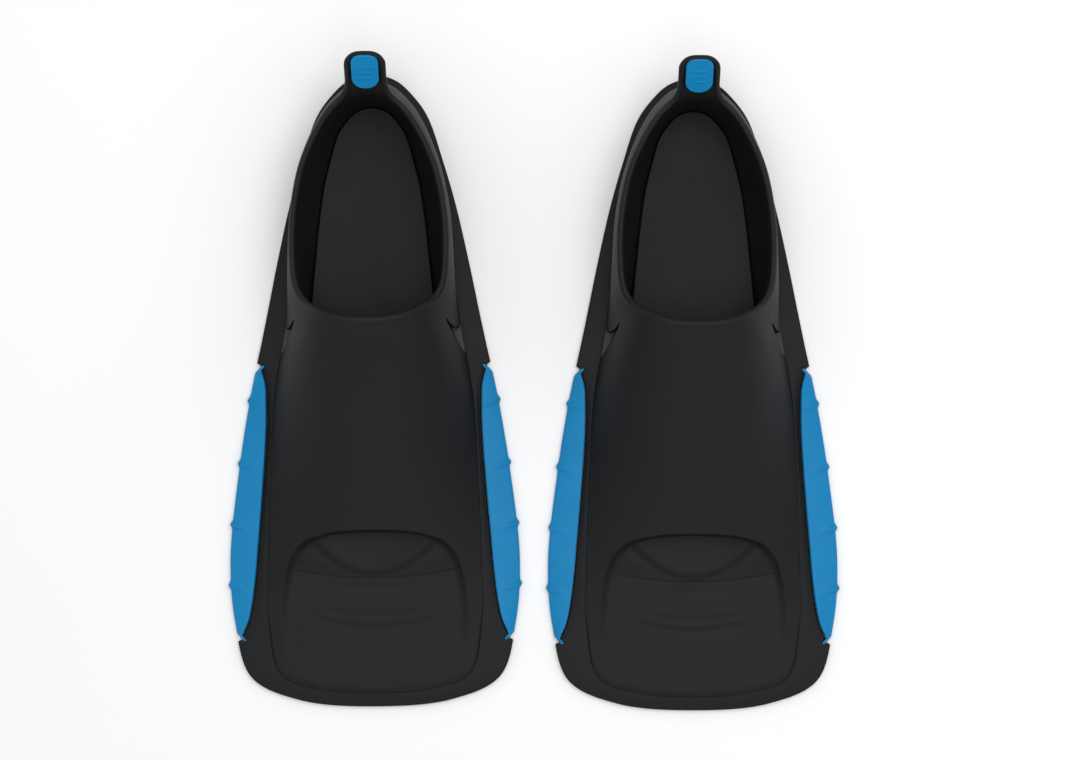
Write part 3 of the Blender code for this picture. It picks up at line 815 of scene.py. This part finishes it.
def inner_rows(loops, rim):
    """Rows down the cavity's face, with the badge's recess sunk into the tab."""
    even = np.linspace(0, 1, INNER_ROWS)[:, None]
    shares = np.where(rim.tab, even, even**INNER_ROWS_POWER)

    def wall(share):
        return inner_wall(loops, rim, share)

    rows = bent_path(wall, rim.inner_corner, rim.inner_tip, shares, TAB_FRONT_BEND)
    heel = np.where(rim.tab)[0]
    rows[:, heel] = sink_recess(rows[:, heel])
    return rows[::-1]


def upper_grid(loops):
    """Pocket walls, toe hood with its window, rolled lip, heel tab and the cavity's inside."""
    rim = Rim(loops)
    turns = np.linspace(0, math.pi, BEAD_ROWS + 1)[1:-1, None, None]
    bead = rim.middle + rim.radius * (rim.side * np.cos(turns) + rim.crest * np.sin(turns))
    lowest = [at_height(loop, UPPER_BOTTOM) for loop in (loops.cavity, loops.crease)]
    return np.concatenate((outer_rows(loops, rim), bead, inner_rows(loops, rim), lowest))


def rail_section(at, left, right, bumps):
    """The rail's outline across one place along it: over its top from the outer edge, then below."""
    corner = np.radians(np.linspace(0, 90, 6))
    across = np.linspace(0, 1, 22)[1:-1]
    span = right - left - 2 * RAIL_ROUND
    x = np.concatenate((
        right - RAIL_ROUND + RAIL_ROUND * np.cos(corner),
        right - RAIL_ROUND - span * across,
        left + RAIL_ROUND - RAIL_ROUND * np.sin(corner),
    ))
    z = np.concatenate((
        RAIL_TOP - RAIL_ROUND + RAIL_ROUND * np.sin(corner),
        np.full(len(across), RAIL_TOP),
        RAIL_TOP - RAIL_ROUND + RAIL_ROUND * np.cos(corner),
    ))
    share = (x - left) / (right - left)
    on_top = z > RAIL_TOP - RAIL_ROUND / 2
    z += RAIL_CROWN * np.sin(np.pi * share) ** RAIL_CROWN_POWER * on_top
    z -= RAIL_TILT * share
    from_edge = right - x
    line = bumps[:, None] - RIDGE_SLOPE * from_edge
    ridge = np.exp(-(((at - line) / RIDGE_HALF_WIDTH) ** 2)).sum(axis=0)
    z += RIDGE_HEIGHT * ridge * (1 - eased(from_edge / RIDGE_LENGTH)) * on_top
    x = np.append(x, (left, right))
    z = np.append(z, (RAIL_BOTTOM, RAIL_BOTTOM))
    return np.column_stack((x, np.full(len(x), at), z))


def rail_grid():
    """One side rail for the +X edge, with its bumps and the ridges that run in from them."""
    low, high = place((RAIL_INNER[-1], RAIL_INNER[0]))[:, 1]
    y = np.linspace(low, high, RAIL_STATIONS)
    bumps = place([(0, along) for along in BUMPS_ALONG])[:, 1]
    bump = np.exp(-(((y[:, None] - bumps) / BUMP_HALF_LENGTH) ** 2)).sum(axis=1)
    ends = np.minimum(y - low, high - y)
    pulled = RAIL_END_INSET * (1 - eased(ends / RAIL_END_LENGTH))
    outer = edge_half_width(FLANGE_EDGE, y) + BUMP_HEIGHT * bump - pulled
    inner = np.minimum(rail_inner(y), outer - RAIL_LEAST_WIDTH)
    return np.array([rail_section(*station, bumps) for station in zip(y, inner, outer)])


def pillow_grid(outline_at, low, high, radius):
    """A flat piece with a rounded upper edge, in the tab's own coordinates."""
    rows = [on_tab(*outline_at(0).T, low), on_tab(*outline_at(0).T, high - radius)]
    for inset, drop in rounding(radius, 5, 15, 90):
        rows.append(on_tab(*outline_at(-inset).T, high - drop))
    rows.append(on_tab(*outline_at(-radius * 1.6).T, high))
    return np.array(rows)


def bar_outline(middle, grow, steps=8):
    """A capsule lying across the badge."""
    half = BAR_HALF_WIDTH + grow
    turns = np.radians(np.linspace(90, -90, steps))
    right = np.column_stack((BAR_HALF_LENGTH + half * np.cos(turns), middle + half * np.sin(turns)))
    left = right[::-1] * (-1, 1)
    return np.vstack((right, left))


def badge_mesh(name):
    """The badge and its grip bars, as one mesh."""
    grids = [pillow_grid(badge_outline, BADGE_LOW, BADGE_HIGH, BADGE_ROUND)]
    centre = (BADGE_FOOT + BADGE_HEAD) / 2
    for step in (-1, 0, 1):
        middle = centre + step * BAR_SPACING
        grids.append(pillow_grid(
            lambda grow: bar_outline(middle, grow),
            BADGE_HIGH - BADGE_ROUND,
            BADGE_HIGH + BAR_HEIGHT,
            BAR_HEIGHT * 0.8,
        ))
    objects = []
    for grid in grids:
        obj = bpy.data.objects.new(name, mesh_from_grid(name, grid))
        bpy.context.scene.collection.objects.link(obj)
        objects.append(obj)
    with bpy.context.temp_override(active_object=objects[0], selected_editable_objects=objects):
        bpy.ops.object.join()
    mesh = objects[0].data
    bpy.data.objects.remove(objects[0])
    return mesh


def flipped(mesh):
    """The mesh mirrored across the fin's axis, with its faces still pointing out."""
    copy = mesh.copy()
    points = np.empty(len(copy.vertices) * 3, np.float32)
    copy.vertices.foreach_get("co", points)
    points[::3] *= -1
    copy.vertices.foreach_set("co", points)
    copy.flip_normals()
    copy.update()
    return copy


def new_material(name):
    material = bpy.data.materials.new(name)
    material.use_nodes = True
    nodes = material.node_tree.nodes
    return nodes, material.node_tree.links, nodes["Principled BSDF"], material


def noise(nodes, links, scale, detail=3.0, rough=0.5):
    """Noise in object space, whose scale is in features per metre."""
    place_node = nodes.new("ShaderNodeTexCoord")
    texture = nodes.new("ShaderNodeTexNoise")
    texture.inputs["Scale"].default_value = scale
    texture.inputs["Detail"].default_value = detail
    texture.inputs["Roughness"].default_value = rough
    links.new(place_node.outputs["Object"], texture.inputs["Vector"])
    return texture.outputs["Fac"]


def ramp(nodes, links, value, low, high, first, last):
    """Maps a value's range to a range of numbers or colours."""
    if isinstance(first, tuple):
        node = nodes.new("ShaderNodeValToRGB")
        node.color_ramp.elements[0].position = low
        node.color_ramp.elements[0].color = (*first, 1)
        node.color_ramp.elements[1].position = high
        node.color_ramp.elements[1].color = (*last, 1)
        links.new(value, node.inputs["Fac"])
        return node.outputs["Color"]
    node = nodes.new("ShaderNodeMapRange")
    node.inputs["From Min"].default_value = low
    node.inputs["From Max"].default_value = high
    node.inputs["To Min"].default_value = first
    node.inputs["To Max"].default_value = last
    links.new(value, node.inputs["Value"])
    return node.outputs["Result"]


def moulded_rubber(name, colours, roughness, specular, grain):
    """Rubber straight from a mould: a fine matt grain, faint cloudiness and a soft sheen."""
    nodes, links, shader, material = new_material(name)
    clouds = noise(nodes, links, 45, 4, 0.6)
    fine = noise(nodes, links, 1600, 2, 0.6)
    links.new(ramp(nodes, links, clouds, 0.3, 0.7, *colours), shader.inputs["Base Color"])
    rough = ramp(nodes, links, clouds, 0.3, 0.7, roughness - 0.03, roughness + 0.03)
    links.new(rough, shader.inputs["Roughness"])
    shader.inputs["Specular IOR Level"].default_value = specular
    bump = nodes.new("ShaderNodeBump")
    bump.inputs["Strength"].default_value = 0.35
    bump.inputs["Distance"].default_value = grain
    links.new(fine, bump.inputs["Height"])
    links.new(bump.outputs["Normal"], shader.inputs["Normal"])
    return material


def add_piece(name, mesh, side, materials, node):
    """Puts a mesh where its fin lies, and has it ride on the fin in place of its frame node."""
    sole = next(m for m in frame["record"]["mounts"] if m["name"] == f"{side}_sole")
    turn = math.radians(TURNS[side])
    mesh = mesh.copy()
    points = np.empty(len(mesh.vertices) * 3, np.float32)
    mesh.vertices.foreach_get("co", points)
    points = points.reshape(-1, 3).astype(float)
    rotation = np.array(((math.cos(turn), math.sin(turn)), (-math.sin(turn), math.cos(turn))))
    points[:, :2] = points[:, :2] @ rotation
    points += np.array(sole["pos_m"])
    mesh.vertices.foreach_set("co", points.astype(np.float32).ravel())
    mesh.update()
    for finish in materials:
        mesh.materials.append(finish)
    mesh.shade_smooth()
    mesh.set_sharp_from_angle(angle=math.radians(SHARP_ANGLE))
    for face in mesh.polygons:
        face.use_smooth = face.normal.z > -0.999
    piece = bpy.data.objects.new(name, mesh)
    bpy.context.scene.collection.objects.link(piece)
    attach(piece, f"{side}_fin")
    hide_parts(node)
    return piece


def build_fins():
    loops = Loops()
    sole = mesh_from_grid("sole", sole_grid(loops))
    pocket = mesh_from_grid("pocket", upper_grid(loops), closed=True)
    rail = mesh_from_grid("rail", rail_grid())
    badge = badge_mesh("badge")
    black = moulded_rubber("black_rubber", BLACK, 0.62, 0.21, 0.00006)
    under = moulded_rubber("sole_rubber", BLACK, 0.62, 0.21, 0.00006)
    blue = moulded_rubber("rail_rubber", BLUE, 0.48, 0.155, 0.00004)
    bright = moulded_rubber("badge_rubber", BRIGHT_BLUE, 0.42, 0.155, 0.00003)
    # The notches' paler colour, also put on the walls of the cuts as a painted highlight
    notch_pale_and_highlight = moulded_rubber("notch_rubber", NOTCH_PALE_AND_HIGHLIGHT, 0.60, 0.21, 0.00012)
    mark_notches(pocket)
    for side in TURNS:
        add_piece(f"{side}_sole", sole, side, [under], f"{side}_sole_blade")
        pocket_finish = [black, notch_pale_and_highlight]
        add_piece(f"{side}_pocket", pocket, side, pocket_finish, f"{side}_foot_pocket")
        for edge, mesh in (("right", rail), ("left", flipped(rail))):
            node = f"{side}_fin_{edge}_rail"
            add_piece(f"{side}_rail_{edge}", mesh, side, [blue], node)
        add_piece(f"{side}_badge", badge, side, [bright], f"{side}_heel_badge")


def area_light(name, spot, size, power):
    """A soft square lamp that points at the middle of the floor."""
    lamp = bpy.data.lights.new(name, "AREA")
    lamp.shape = "SQUARE"
    lamp.size = size
    lamp.energy = power
    obj = bpy.data.objects.new(name, lamp)
    obj.location = spot
    x, y, z = spot
    obj.rotation_euler = (math.atan2(math.hypot(x, y), z), 0, math.atan2(-x, y))
    bpy.context.scene.collection.objects.link(obj)


def build_studio():
    """Pale floor, soft lamps and the camera straight above."""
    mesh = bpy.data.meshes.new("floor")
    corners = ((-1, -1), (1, -1), (1, 1), (-1, 1))
    spots = [(x * FLOOR_HALF, y * FLOOR_HALF, -GAP) for x, y in corners]
    mesh.from_pydata(spots, [], [(0, 1, 2, 3)])
    floor = bpy.data.objects.new("floor", mesh)
    bpy.context.scene.collection.objects.link(floor)
    nodes, links, shader, material = new_material("floor_paper")
    paper = ramp(nodes, links, noise(nodes, links, 4), 0.3, 0.7, *PAPER)
    links.new(paper, shader.inputs["Base Color"])
    shader.inputs["Roughness"].default_value = 0.9
    mesh.materials.append(material)

    for lamp in LAMPS:
        area_light(*lamp)
    world = bpy.data.worlds.new("studio")
    bpy.context.scene.world = world
    world.use_nodes = True
    background = world.node_tree.nodes["Background"]
    background.inputs["Color"].default_value = (1, 1, 1, 1)
    background.inputs["Strength"].default_value = DAYLIGHT

    camera = bpy.data.cameras.new("camera")
    camera.sensor_width = 36
    camera.lens = CAMERA_LENS
    obj = bpy.data.objects.new("camera", camera)
    obj.location = CAMERA_SPOT
    bpy.context.scene.collection.objects.link(obj)
    bpy.context.scene.camera = obj
    bpy.context.scene.view_settings.view_transform = "Standard"


build_fins()
build_studio()
bpy.context.view_layer.update()
